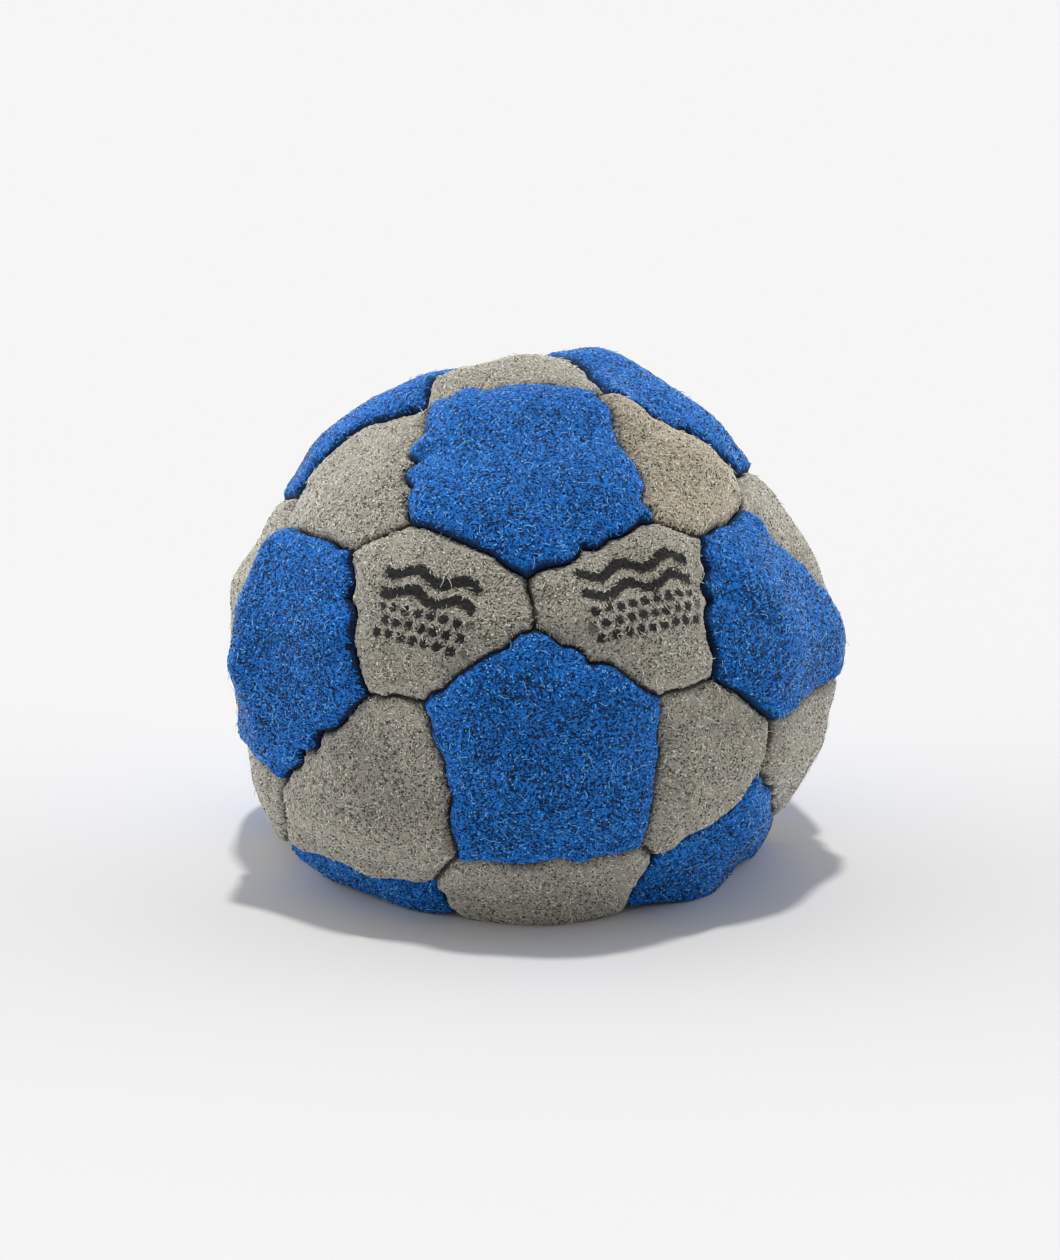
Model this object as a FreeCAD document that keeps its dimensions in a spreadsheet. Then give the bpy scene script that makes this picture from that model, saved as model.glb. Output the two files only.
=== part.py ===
"""Foot-juggling ball of 32 sewn suede panels with a sand filling, set down and slumped on its base.

Twelve pentagons and twenty hexagons lie on the pattern of a truncated icosahedron whose pentagons are
enlarged, so that each hexagon has three long sides and three short ones. Every panel is a dished piece: a
skin whose edges turn in along the seams as a seam allowance. Threads weave through the turned-in edges of
neighbouring panels. The sand fills the space inside the seam allowances and can shift upwards.

Frame: millimetres, +Z up, origin at the centre of the base, on the ground. The front is -Y.
"""
import FreeCAD, Part
import math
import os

import Sketcher

Vector = FreeCAD.Vector
doc = FreeCAD.newDocument("foot_juggling_ball")

# ---------------------------------------------------------------- driving dimensions
# alias: (value, what it is). Lengths are in millimetres, angles in degrees.
DIMENSIONS = {
    "ball_width": (53.0, "widest diameter of the slumped ball"),
    "ball_height": (45.0, "height of the slumped ball"),
    "widest_height": (20.0, "height of the widest section above the ground"),
    "base_radius": (20.5, "radius of the flat base"),
    "crown_handle": (0.44, "fullness of the crown, as a share of its width and height"),
    "flank_handle": (10.0, "length of the upright tangent below the widest section"),
    "base_handle": (7.0, "length of the slanted tangent at the edge of the base"),
    "base_slope": (56.0, "slope of the flank where it leaves the ground"),
    "pattern_height": (18.0, "height of the point that all seam planes pass through"),
    "pattern_tilt": (-27.0, "pattern's turn about X"),
    "pattern_roll": (-3.0, "pattern's turn about Y"),
    "pattern_turn": (2.5, "pattern's turn about Z"),
    "pentagon_angle": (26.4, "angle from a pentagon's axis to its corners"),
    "suede_thickness": (0.8, "thickness of the suede"),
    "seam_depth": (2.2, "depth of the turned-in seam allowance below the outside"),
    "seam_gap": (0.1, "gap between two turned-in edges"),
    "thread_depth": (1.6, "depth of the stitch line below the outside"),
    "thread_radius": (0.14, "radius of the sewing thread"),
    "thread_clearance": (0.07, "space between a thread and the suede beside it"),
    "stitches_long_side": (5, "stitches along a long side"),
    "stitches_short_side": (3, "stitches along a short side"),
    "fill_clearance": (0.3, "space between the sand and the seam allowances"),
    "fill_travel": (2.0, "free height above the sand"),
    "cutter_near": (4.0, "distance from the pattern's centre to the near end of a cutter"),
    "cutter_far": (60.0, "distance from the pattern's centre to the far end of a cutter"),
}


def make_sheet():
    """Writes the driving dimensions to a spreadsheet, one row each: name, value, meaning."""
    made = doc.addObject("Spreadsheet::Sheet", "Dimensions")
    for row, (alias, (value, meaning)) in enumerate(DIMENSIONS.items(), start=1):
        made.set(f"A{row}", alias)
        made.set(f"B{row}", str(value))
        made.set(f"C{row}", meaning)
        made.setAlias(f"B{row}", alias)
    doc.recompute()
    return made


sheet = make_sheet()


def size(alias):
    """A dimension's value as the sheet holds it."""
    return float(sheet.get(alias))


# ---------------------------------------------------------------- solids of revolution
POLE_MARK = 2              # radius of the circles that mark a cubic's poles in its sketch


def inset_ratio():
    """How much the base radius shrinks for each millimetre of inset at the corner under the flank."""
    return 1 / math.tan(math.radians(90 - size("base_slope") / 2))


def add_form(name, inset):
    """A Body revolved from half of the ball's outline, shrunk inwards by inset, a formula on the sheet.

    The outline is a flat base, then one cubic from the base to the widest section and one from there to
    the crown. The poles of both cubics are bound to the sheet.
    """
    body = doc.addObject("PartDesign::Body", name)
    planes = {plane.Role: plane for plane in body.Origin.OriginFeatures}
    sketch = body.newObject("Sketcher::SketchObject", name + "_outline")
    sketch.AttachmentSupport = (planes["XZ_Plane"], [""])
    sketch.MapMode = "FlatFace"

    half_width = f"(Dimensions.ball_width / 2 - ({inset}))"
    top = f"(Dimensions.ball_height - ({inset}))"
    middle = "Dimensions.widest_height"
    foot = f"(Dimensions.base_radius - ({inset}) * {inset_ratio():.4f})"
    crown_poles = [
        ("0", top),
        (f"{half_width} * Dimensions.crown_handle", top),
        (half_width, f"{middle} + ({top} - {middle}) * Dimensions.crown_handle"),
        (half_width, middle),
    ]
    flank_poles = [
        (half_width, middle),
        (half_width, f"{middle} - Dimensions.flank_handle"),
        (
            f"{foot} + Dimensions.base_handle * cos(Dimensions.base_slope * 1deg)",
            f"{inset} + Dimensions.base_handle * sin(Dimensions.base_slope * 1deg)",
        ),
        (foot, inset),
    ]
    crown = add_cubic(sketch, crown_poles)
    flank = add_cubic(sketch, flank_poles)
    foot_end = Vector(evaluate(foot), evaluate(inset), 0)
    base_middle = Vector(0, evaluate(inset), 0)
    crown_end = Vector(0, evaluate(top), 0)
    base = sketch.addGeometry(Part.LineSegment(foot_end, base_middle))
    axis = sketch.addGeometry(Part.LineSegment(base_middle, crown_end))
    sketch.addConstraint(Sketcher.Constraint("Coincident", flank, 2, base, 1))
    sketch.addConstraint(Sketcher.Constraint("Coincident", base, 2, axis, 1))
    sketch.addConstraint(Sketcher.Constraint("Coincident", axis, 2, crown, 1))
    sketch.addConstraint(Sketcher.Constraint("Horizontal", base))
    sketch.addConstraint(Sketcher.Constraint("Vertical", axis))

    revolution = body.newObject("PartDesign::Revolution", name + "_turned")
    revolution.Profile = sketch
    revolution.ReferenceAxis = (sketch, ["V_Axis"])
    revolution.Angle = 360
    return body


def add_cubic(sketch, poles):
    """Adds a cubic with four poles, each an (x, y) pair of formulas, and binds the poles to the sheet."""
    guesses = [Vector(evaluate(x), evaluate(y), 0) for x, y in poles]
    curve = Part.BSplineCurve()
    curve.buildFromPolesMultsKnots(guesses, [4, 4], [0, 1], False, 3)
    spline = sketch.addGeometry(curve)
    circles = [sketch.addGeometry(Part.Circle(p, Vector(0, 0, 1), POLE_MARK), True) for p in guesses]
    for index, circle in enumerate(circles):
        align = "InternalAlignment:Sketcher::BSplineControlPoint"
        sketch.addConstraint(Sketcher.Constraint(align, circle, 3, spline, index))
    sketch.addConstraint(Sketcher.Constraint("Weight", circles[0], 1.0))
    for circle in circles[1:]:
        sketch.addConstraint(Sketcher.Constraint("Equal", circles[0], circle))
    for circle, guess, (x, y) in zip(circles, guesses, poles):
        if x == "0":
            sketch.addConstraint(Sketcher.Constraint("PointOnObject", circle, 3, -2))
        else:
            bind(sketch, Sketcher.Constraint("DistanceX", -1, 1, circle, 3, guess.x), x)
        bind(sketch, Sketcher.Constraint("DistanceY", -1, 1, circle, 3, guess.y), y)
    return spline


def bind(sketch, constraint, formula):
    """Adds a dimension to a sketch and binds it to a formula on the sheet, unless it is zero."""
    index = sketch.addConstraint(constraint)
    if formula != "0":
        sketch.setExpression(f"Constraints[{index}]", formula)


def evaluate(formula):
    """The value of a formula on the sheet, for a first guess that a bound dimension then holds."""
    result = sheet.evalExpression(formula)
    return float(getattr(result, "Value", result))


# ---------------------------------------------------------------- the panel pattern
GOLDEN = (1 + math.sqrt(5)) / 2
# Angle from a hexagon's axis to the plane of a short side, which it shares with another hexagon.
HEXAGON_TO_SHORT_SIDE = math.degrees(math.atan(1 / GOLDEN**2))
# Angle between the axes of a pentagon and a hexagon that share a long side.
PENTAGON_TO_HEXAGON = math.degrees(math.acos(math.sqrt((5 + 2 * math.sqrt(5)) / 15)))
SAME = 0.001               # cosines that differ by less than this are of one angle


def pattern_rotation():
    """The turn that carries the upright pattern to how the ball lies."""
    turn = FreeCAD.Rotation(Vector(0, 0, 1), size("pattern_turn"))
    roll = FreeCAD.Rotation(Vector(0, 1, 0), size("pattern_roll"))
    tilt = FreeCAD.Rotation(Vector(1, 0, 0), size("pattern_tilt"))
    return turn.multiply(roll).multiply(tilt)


def pentagon_axes():
    """Unit vectors to the twelve pentagons: the corners of an icosahedron, turned as the ball lies."""
    turned = pattern_rotation()
    axes = []
    for a in (1, -1):
        for b in (GOLDEN, -GOLDEN):
            for corner in (Vector(0, b, a), Vector(a, 0, b), Vector(b, a, 0)):
                axes.append(turned.multVec(corner.normalize()))
    return ring_order(axes)


def hexagon_axes(pentagons):
    """Unit vectors to the twenty hexagons: the middle of each three pentagons that neighbour each other."""
    axes = []
    for i, p in enumerate(pentagons):
        for j, q in enumerate(pentagons[i + 1 :], start=i + 1):
            for r in pentagons[j + 1 :]:
                if min(p.dot(q), q.dot(r), r.dot(p)) > 0:
                    axes.append((p + q + r).normalize())
    return ring_order(axes)


def ring_order(axes):
    """Sorts axes from the crown down, and round the ball from the front where heights are close."""
    return sorted(axes, key=lambda a: (-round(a.z, 1), math.atan2(a.x, -a.y)))


def neighbours(axis, others):
    """The axes that stand next to this one: the nearest of the others, all at one distance."""
    nearest = max(axis.dot(other) for other in others if axis.dot(other) < 1 - SAME)
    return [other for other in others if abs(axis.dot(other) - nearest) < SAME]


def corner_towards(pentagon, other):
    """Unit vector to the corner of a pentagon that points to a neighbouring pentagon."""
    sideways = (other - pentagon * pentagon.dot(other)).normalize()
    angle = math.radians(size("pentagon_angle"))
    return pentagon * math.cos(angle) + sideways * math.sin(angle)


def panel_placement(axis, towards):
    """Stands a cutter on the pattern's centre with +Z along axis and +Y towards another axis."""
    y = (towards - axis * axis.dot(towards)).normalize()
    rotation = FreeCAD.Rotation(y.cross(axis), y, axis, "ZXY")
    return FreeCAD.Placement(Vector(0, 0, size("pattern_height")), rotation)


# ---------------------------------------------------------------- cutters
PENTAGON_SIDE = "atan(tan(Dimensions.pentagon_angle * 1deg) * cos(36deg))"
LONG_SIDE = f"({PENTAGON_TO_HEXAGON:.4f}deg - {PENTAGON_SIDE})"
SHORT_SIDE = f"{HEXAGON_TO_SHORT_SIDE:.4f}deg"


def side_distance(side_angle, height, inset):
    """Formula: how far a side plane, drawn inwards by inset, is from the axis at a height along it."""
    return f"({height} * tan({side_angle}) - ({inset}) / cos({side_angle}))"


def pentagon_sketch(sketch, height, inset):
    """Draws a regular pentagon, its first corner on the +Y axis."""
    radius = f"{side_distance(PENTAGON_SIDE, height, inset)} / cos(36deg)"
    first_turn = math.pi / 2
    turns = [first_turn + 2 * math.pi * k / 5 for k in range(5)]
    sides = add_ring(sketch, turns, radius)
    sketch.addConstraint(Sketcher.Constraint("PointOnObject", sides[0], 1, -2))
    for other in sides[1:]:
        sketch.addConstraint(Sketcher.Constraint("Equal", sides[0], other))


def hexagon_sketch(sketch, height, inset):
    """Draws a hexagon with long and short sides in turn, a long side square to the +Y axis."""
    long_distance = side_distance(LONG_SIDE, height, inset)
    short_distance = side_distance(SHORT_SIDE, height, inset)
    half_long = f"(({short_distance} - {long_distance} * cos(60deg)) / sin(60deg))"
    radius = f"sqrt({long_distance} ^ 2 + {half_long} ^ 2)"
    half_turn = math.atan2(evaluate(half_long), evaluate(long_distance))
    turns = []
    for k in range(3):
        middle = math.pi / 2 + 2 * math.pi * k / 3
        turns += [middle - half_turn, middle + half_turn]
    sides = add_ring(sketch, turns, radius)
    sketch.addConstraint(Sketcher.Constraint("Horizontal", sides[0]))
    distance = Sketcher.Constraint("DistanceY", -1, 1, sides[0], 1, evaluate(long_distance))
    bind(sketch, distance, long_distance)
    for first in (0, 1):
        for other in (first + 2, first + 4):
            sketch.addConstraint(Sketcher.Constraint("Equal", sides[first], sides[other]))


def add_ring(sketch, turns, radius):
    """Adds a closed ring of straight sides with its corners on a circle round the sketch's origin."""
    reach = evaluate(radius)
    circle = sketch.addGeometry(Part.Circle(Vector(0, 0, 0), Vector(0, 0, 1), reach), True)
    sketch.addConstraint(Sketcher.Constraint("Coincident", circle, 3, -1, 1))
    bind(sketch, Sketcher.Constraint("Radius", circle, reach), radius)
    corners = [Vector(reach * math.cos(a), reach * math.sin(a), 0) for a in turns]
    pairs = zip(corners, corners[1:] + corners[:1])
    sides = [sketch.addGeometry(Part.LineSegment(a, b)) for a, b in pairs]
    for side, after in zip(sides, sides[1:] + sides[:1]):
        sketch.addConstraint(Sketcher.Constraint("Coincident", side, 2, after, 1))
        sketch.addConstraint(Sketcher.Constraint("PointOnObject", side, 1, circle))
    return sides


def add_cutter(name, draw, inset):
    """A Body with flat sides that all run towards the pattern's centre, lofted between two outlines."""
    body = doc.addObject("PartDesign::Body", name)
    planes = {plane.Role: plane for plane in body.Origin.OriginFeatures}
    ends = []
    for end in ("near", "far"):
        height = f"Dimensions.cutter_{end}"
        sketch = body.newObject("Sketcher::SketchObject", f"{name}_{end}")
        sketch.AttachmentSupport = (planes["XY_Plane"], [""])
        sketch.MapMode = "FlatFace"
        sketch.setExpression(".AttachmentOffset.Base.z", height)
        draw(sketch, height, inset)
        ends.append(sketch)
    loft = body.newObject("PartDesign::AdditiveLoft", name + "_loft")
    loft.Profile = ends[0]
    loft.Sections = [ends[1]]
    loft.Ruled = True
    return body


def placed(source, name, placement):
    """A link to source at another placement."""
    link = doc.addObject("App::Link", name)
    link.LinkedObject = source
    link.Placement = placement
    return link


def combine(kind, name, base, tool):
    """A Part boolean, Part::Common or Part::Cut, of two objects."""
    made = doc.addObject(kind, name)
    made.Base = base
    made.Tool = tool
    return made


# ---------------------------------------------------------------- sub-parts
MITRED = 1                 # how makePipeShell turns a corner


def add_panel(label, cutters, placement):
    """A dished suede panel: its share of the rind, hollowed from inside down to the skin and the edges."""
    outer, inner = cutters
    blank = combine("Part::Common", label + "_blank", rind, placed(outer, label + "_cut", placement))
    hollow = combine(
        "Part::Common", label + "_hollow", inside_form, placed(inner, label + "_pocket", placement)
    )
    panel = combine("Part::Cut", label + "_solid", blank, hollow)
    panel.Label = label
    return panel


def on_stitch_line(direction):
    """The point on the stitch form straight out from the pattern's centre."""
    centre = Vector(0, 0, size("pattern_height"))
    ray = Part.makeLine(centre, centre + direction * size("cutter_far"))
    inside = ray.common(stitch_form.Shape)
    return centre + direction * inside.Length


def weave(start, end, stitches, side, first):
    """Points of a running stitch between two directions, each on the far side of the seam from the last.

    side is the seam plane's normal, and first says on which side of the plane the first point lies.
    """
    beside = size("thread_radius") + size("thread_clearance")
    swing = size("seam_gap") / 2 + size("suede_thickness") + beside
    points = []
    for stitch in range(stitches):
        share = (stitch + 1 / 2) / stitches
        direction = (start * (1 - share) + end * share).normalize()
        points.append(on_stitch_line(direction) + side * swing * first * (-1) ** stitch)
    return points


def thread_along(points):
    """A round thread that runs straight from point to point, mitred where it turns back."""
    ring = Part.Wire([Part.makeCircle(size("thread_radius"), points[0], points[1] - points[0])])
    return Part.makePolygon(points).makePipeShell([ring], True, False, MITRED)


def pentagon_thread(pentagon, pentagons):
    """The thread that sews one pentagon in, once round its five sides; its two ends are a stitch apart."""
    around = neighbours(pentagon, pentagons)
    east = (around[0] - pentagon * pentagon.dot(around[0])).normalize()
    north = pentagon.cross(east)
    around.sort(key=lambda other: math.atan2(other.dot(north), other.dot(east)))
    corners = [corner_towards(pentagon, other) for other in around]
    stitches = int(size("stitches_long_side"))
    points, first = [], 1
    for corner, after in zip(corners, corners[1:] + corners[:1]):
        points += weave(corner, after, stitches, corner.cross(after).normalize(), first)
        first *= (-1) ** stitches
    return thread_along(points)


def short_seams(pentagons):
    """The thirty seams between two hexagons, as pairs of unit vectors to their ends."""
    seams = []
    for i, p in enumerate(pentagons):
        for q in neighbours(p, pentagons):
            if pentagons.index(q) > i:
                seams.append((corner_towards(p, q), corner_towards(q, p)))
    return seams


def short_seam_thread(start, end):
    """The thread of one short seam, clear of the corners at both ends."""
    side = start.cross(end).normalize()
    return thread_along(weave(start, end, int(size("stitches_short_side")), side, 1))


def add_thread(label, shape):
    """A thread, or a group of separate threads, as one sub-part."""
    thread = doc.addObject("Part::Feature", label)
    thread.Shape = shape
    thread.Label = label
    return thread


# ---------------------------------------------------------------- assembly
skin = "Dimensions.suede_thickness"
seam = "Dimensions.seam_depth"
outside_form = add_form("outside_form", "0")
inside_form = add_form("inside_form", skin)
core_form = add_form("core_form", seam)
stitch_form = add_form("stitch_form", "Dimensions.thread_depth")
fill_form = add_form("fill_form", f"{seam} + Dimensions.fill_clearance")
rind = combine("Part::Cut", "rind", outside_form, core_form)
doc.recompute()

half_gap = "Dimensions.seam_gap / 2"
turned_edge = f"{half_gap} + {skin}"
pentagon_cutters = (
    add_cutter("pentagon_cutter", pentagon_sketch, half_gap),
    add_cutter("pentagon_pocket_cutter", pentagon_sketch, turned_edge),
)
hexagon_cutters = (
    add_cutter("hexagon_cutter", hexagon_sketch, half_gap),
    add_cutter("hexagon_pocket_cutter", hexagon_sketch, turned_edge),
)
doc.recompute()

pentagons = pentagon_axes()
hexagons = hexagon_axes(pentagons)
sub_parts = []
for number, axis in enumerate(pentagons, start=1):
    placement = panel_placement(axis, neighbours(axis, pentagons)[0])
    sub_parts.append(add_panel(f"blue_pentagon_panel_{number:02d}", pentagon_cutters, placement))
for number, axis in enumerate(hexagons, start=1):
    placement = panel_placement(axis, neighbours(axis, pentagons)[0])
    sub_parts.append(add_panel(f"grey_hexagon_panel_{number:02d}", hexagon_cutters, placement))

for number, axis in enumerate(pentagons, start=1):
    thread = pentagon_thread(axis, pentagons)
    sub_parts.append(add_thread(f"pentagon_seam_thread_{number:02d}", thread))
seams = sorted(short_seams(pentagons), key=lambda ends: -(ends[0] + ends[1]).z)
third = len(seams) // 3
for k, level in enumerate(("upper", "middle", "lower")):
    threads = [short_seam_thread(*ends) for ends in seams[k * third : (k + 1) * third]]
    sub_parts.append(add_thread(f"short_seam_threads_{level}", Part.makeCompound(threads)))

lowered = FreeCAD.Placement(Vector(0, 0, -size("fill_travel")), FreeCAD.Rotation())
sand = combine("Part::Common", "sand_solid", fill_form, placed(fill_form, "fill_room", lowered))
sand.Label = "sand_filling"
sub_parts.append(sand)
doc.recompute()


# ---------------------------------------------------------------- checks and export
def check(objects, parts):
    """Stops if an object failed to compute, or a sub-part is empty, invalid or holds no solid."""
    failed = [o.Name for o in objects if {"Invalid", "Error"} & set(o.State)]
    if failed:
        raise RuntimeError(f"these objects failed: {failed}")
    for part in parts:
        shape = part.Shape
        if shape.isNull() or not shape.isValid() or not shape.Solids:
            raise RuntimeError(f"{part.Label} has no valid solid")


check(doc.Objects, sub_parts)
os.makedirs("parts", exist_ok=True)
for part in sub_parts:
    part.Shape.exportStep(os.path.join("parts", part.Label + ".step"))
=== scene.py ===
import itertools
import math

import bpy
import numpy as np
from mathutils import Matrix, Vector


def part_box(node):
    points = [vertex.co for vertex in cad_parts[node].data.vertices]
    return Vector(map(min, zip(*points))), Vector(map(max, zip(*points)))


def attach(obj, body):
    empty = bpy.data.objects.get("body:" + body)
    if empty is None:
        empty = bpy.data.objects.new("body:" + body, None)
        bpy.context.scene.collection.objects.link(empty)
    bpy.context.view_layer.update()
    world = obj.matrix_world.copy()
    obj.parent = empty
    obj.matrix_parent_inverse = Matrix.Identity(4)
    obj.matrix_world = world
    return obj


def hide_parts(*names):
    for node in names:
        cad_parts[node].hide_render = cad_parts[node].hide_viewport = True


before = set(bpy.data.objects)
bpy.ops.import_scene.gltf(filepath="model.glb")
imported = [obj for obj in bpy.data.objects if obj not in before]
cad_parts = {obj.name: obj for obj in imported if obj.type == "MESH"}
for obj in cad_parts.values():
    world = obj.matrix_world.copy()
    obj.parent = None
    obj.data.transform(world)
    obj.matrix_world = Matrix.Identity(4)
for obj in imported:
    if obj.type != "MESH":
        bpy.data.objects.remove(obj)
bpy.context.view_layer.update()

MM = 0.001
GOLDEN = (1 + math.sqrt(5)) / 2

# ---------------------------------------------------------------- the slumped form, as in the CAD
WIDTH = 53.0
HEIGHT = 45.0
WIDEST_HEIGHT = 20.0
BASE_RADIUS = 20.5
CROWN_HANDLE = 0.44
FLANK_HANDLE = 10.0
BASE_HANDLE = 7.0
BASE_SLOPE = math.radians(56)
CENTRE = np.array([0.0, 0.0, 18.0])
TILT, ROLL, TURN = math.radians(-27), math.radians(-3), math.radians(2.5)
PENTAGON_ANGLE = math.radians(26.4)

# ---------------------------------------------------------------- the soft detail
CELLS = 28                 # cells along half a side of a panel
EDGE_CROWDING = 1.5        # how strongly the cells crowd towards the edges
SKIN = 0.8                 # thickness of the suede
EDGE_LEVEL = -0.55         # where a panel's dome starts, beside its rolled edge
DOME_RISE = 0.75           # how far the dome climbs from there
DOME_SPAN = 2.4            # over about this distance from the edge
BLUE_ROLL = (0.9, 0.7)     # depth and width of the rolled edge
GREY_ROLL = (0.95, 0.95)
FLANGE_DEPTH = 2.2         # how far the turned-in edge reaches below the outside
FLANGE_GAP = 0.1           # from the middle of a seam to a turned-in edge
HIGHEST_INSIDE = 0.4       # the inside follows the outside up to this height
PANEL_REACH = 8.5          # typical distance from a panel's middle to its edge
FLOOR_GAP = 0.02           # lowest height of the suede above the floor
DEEPEST_SEAM = -2.1        # lowest the outside may sink, so that it stays above the turned-in edge
STITCH = 2.7               # assumed distance between the hidden stitches along a seam
RADIUS = 25.0              # typical distance from the centre to the suede
FIBRES_PER_MM2 = {"blue": 42, "grey": 50}    # density of the nap
FIBRE_LENGTH = 0.27        # of a typical nap fibre
FIBRE_RADIUS = 0.068       # at its root
FIBRE_STEPS = np.array([0.0, 0.35, 0.7, 1.0])    # the points along a fibre
STRAYS = 0.01              # share of the fibres that stand up and out
GLINTS = 0.045             # share of the fibres that are short, pale and on top, as painted highlights
PITS = {"blue": 0.25, "grey": 0.08}          # share of the nap that is a near-black stub on top, painted shade of a pit between tufts
PIT_RADIUS = 0.085
NAP_TOP = 0.06             # how far the painted-shade pits and painted-highlight glints lie above the other fibres' roots
LOWEST_FIBRE = 0.05        # lowest height of a fibre above the floor
BARE_EDGE, THIN_EDGE = 0.1, 0.6    # the nap starts this far from a seam, and is full this much farther in
GAP_SHADE = 0.4            # how far from a seam the suede is painted dark, as shade in the seam's gap


def unit(v):
    """Unit vectors along the last axis."""
    v = np.asarray(v, float)
    return v / np.linalg.norm(v, axis=-1, keepdims=True)


def smooth(x):
    """Smooth step from 0 to 1."""
    x = np.clip(x, 0, 1)
    return x * x * (3 - 2 * x)


def bezier(poles, count=200):
    """Points along a cubic with four poles."""
    t = np.linspace(0, 1, count)[:, None]
    a, b, c, d = np.asarray(poles, float)
    return (1 - t) ** 3 * a + 3 * (1 - t) ** 2 * t * b + 3 * (1 - t) * t**2 * c + t**3 * d


def outline():
    """Half outline of the slumped ball from the crown to the middle of the base, as (radius, height)."""
    half = WIDTH / 2
    rise = HEIGHT - WIDEST_HEIGHT
    foot = np.array([BASE_RADIUS, 0])
    leave = foot + BASE_HANDLE * np.array([math.cos(BASE_SLOPE), math.sin(BASE_SLOPE)])
    crown = bezier([
        (0, HEIGHT),
        (half * CROWN_HANDLE, HEIGHT),
        (half, WIDEST_HEIGHT + rise * CROWN_HANDLE),
        (half, WIDEST_HEIGHT),
    ])
    flank = bezier([(half, WIDEST_HEIGHT), (half, WIDEST_HEIGHT - FLANK_HANDLE), leave, foot])
    base = np.linspace(foot, (0, 0), 100)
    return np.vstack([crown, flank[1:], base[1:]])


OUTLINE = outline()
OUTLINE_ANGLE = np.arctan2(OUTLINE[:, 0], OUTLINE[:, 1] - CENTRE[2])
OUTLINE_REACH = np.hypot(OUTLINE[:, 0], OUTLINE[:, 1] - CENTRE[2])
OUTLINE_STEP = np.gradient(OUTLINE, axis=0)
OUTLINE_NORMAL = unit(np.column_stack([-OUTLINE_STEP[:, 1], OUTLINE_STEP[:, 0]]))


def surface(directions):
    """Points on the slumped form straight out from the centre, and the outward normals there."""
    d = unit(directions)
    flat = np.hypot(d[..., 0], d[..., 1])
    angle = np.arctan2(flat, d[..., 2])
    reach = np.interp(angle, OUTLINE_ANGLE, OUTLINE_REACH)
    out = np.interp(angle, OUTLINE_ANGLE, OUTLINE_NORMAL[:, 0])
    up = np.interp(angle, OUTLINE_ANGLE, OUTLINE_NORMAL[:, 1])
    around = d[..., :2] / np.maximum(flat, 1e-9)[..., None]
    normal = unit(np.concatenate([around * out[..., None], up[..., None]], axis=-1))
    return CENTRE + d * reach[..., None], normal


# ---------------------------------------------------------------- the panel pattern, as in the CAD
def pattern_turn():
    """The rotation that carries the upright pattern to how the ball lies."""
    cx, sx = math.cos(TILT), math.sin(TILT)
    cy, sy = math.cos(ROLL), math.sin(ROLL)
    cz, sz = math.cos(TURN), math.sin(TURN)
    about_x = np.array([[1, 0, 0], [0, cx, -sx], [0, sx, cx]])
    about_y = np.array([[cy, 0, sy], [0, 1, 0], [-sy, 0, cy]])
    about_z = np.array([[cz, -sz, 0], [sz, cz, 0], [0, 0, 1]])
    return about_z @ about_y @ about_x


# Pentagons by the place they take on the ball as it lies, with their place on the upright icosahedron.
PENTAGONS = {
    "crown_front": (0, -GOLDEN, 1),
    "crown_back": (0, GOLDEN, 1),
    "top_right": (1, 0, GOLDEN),
    "top_left": (-1, 0, GOLDEN),
    "front": (0, -GOLDEN, -1),
    "back": (0, GOLDEN, -1),
    "left": (-GOLDEN, -1, 0),
    "right": (GOLDEN, -1, 0),
    "back_left": (-GOLDEN, 1, 0),
    "back_right": (GOLDEN, 1, 0),
    "foot_left": (-1, 0, -GOLDEN),
    "foot_right": (1, 0, -GOLDEN),
}
AXES = {name: pattern_turn() @ unit(place) for name, place in PENTAGONS.items()}


def touching(a, b):
    """True if two pentagons neighbour each other across a short seam."""
    return a != b and AXES[a] @ AXES[b] > 0.4


HEXAGONS = [trio for trio in itertools.combinations(AXES, 3)
            if all(touching(a, b) for a, b in itertools.combinations(trio, 2))]

VIEW_ELEVATION = math.radians(17)
VIEW_RIGHT = np.array([1.0, 0.0, 0.0])
VIEW_UP = np.array([0.0, math.sin(VIEW_ELEVATION), math.cos(VIEW_ELEVATION)])
VIEW_BACK = np.array([0.0, -math.cos(VIEW_ELEVATION), math.sin(VIEW_ELEVATION)])

# How far corners of the real pattern lie from the regular one, seen from the front: (right, up).
# Each key is a pentagon and the neighbour that its corner points to.
CORNER_SHIFTS = {
    ("crown_front", "front"): (-0.3, -0.3),
    ("crown_front", "right"): (0.2, -1.9),
    ("crown_front", "top_right"): (0.0, -1.0),
    ("crown_front", "top_left"): (-0.6, -0.2),
    ("crown_front", "left"): (1.0, -0.8),
    ("front", "right"): (-0.6, 0.9),
    ("front", "foot_right"): (1.2, 0.6),
    ("front", "foot_left"): (-0.6, 1.0),
    ("front", "left"): (1.0, 1.7),
    ("left", "crown_front"): (0.0, -0.5),
    ("left", "front"): (0.3, 0.4),
    ("left", "foot_left"): (0.6, 0.0),
    ("left", "back_left"): (0.9, -6.2),
    ("right", "front"): (0.7, 0.0),
    ("right", "crown_front"): (0.5, -0.8),
    ("right", "top_right"): (-1.4, -0.6),
    ("right", "foot_right"): (-1.6, 2.1),
    ("right", "back_right"): (0.5, -2.6),
    ("top_right", "crown_front"): (-2.0, -2.2),
    ("top_right", "right"): (0.0, -0.6),
    ("top_left", "crown_front"): (1.0, -0.6),
    ("foot_left", "left"): (-0.7, -1.0),
    ("foot_left", "front"): (-0.3, 0.9),
    ("foot_right", "right"): (-1.6, 2.6),
    ("foot_right", "front"): (-0.2, 1.6),
}
FARTHEST_SLIDE = 5.5       # farthest that a corner may move on the ball


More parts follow.
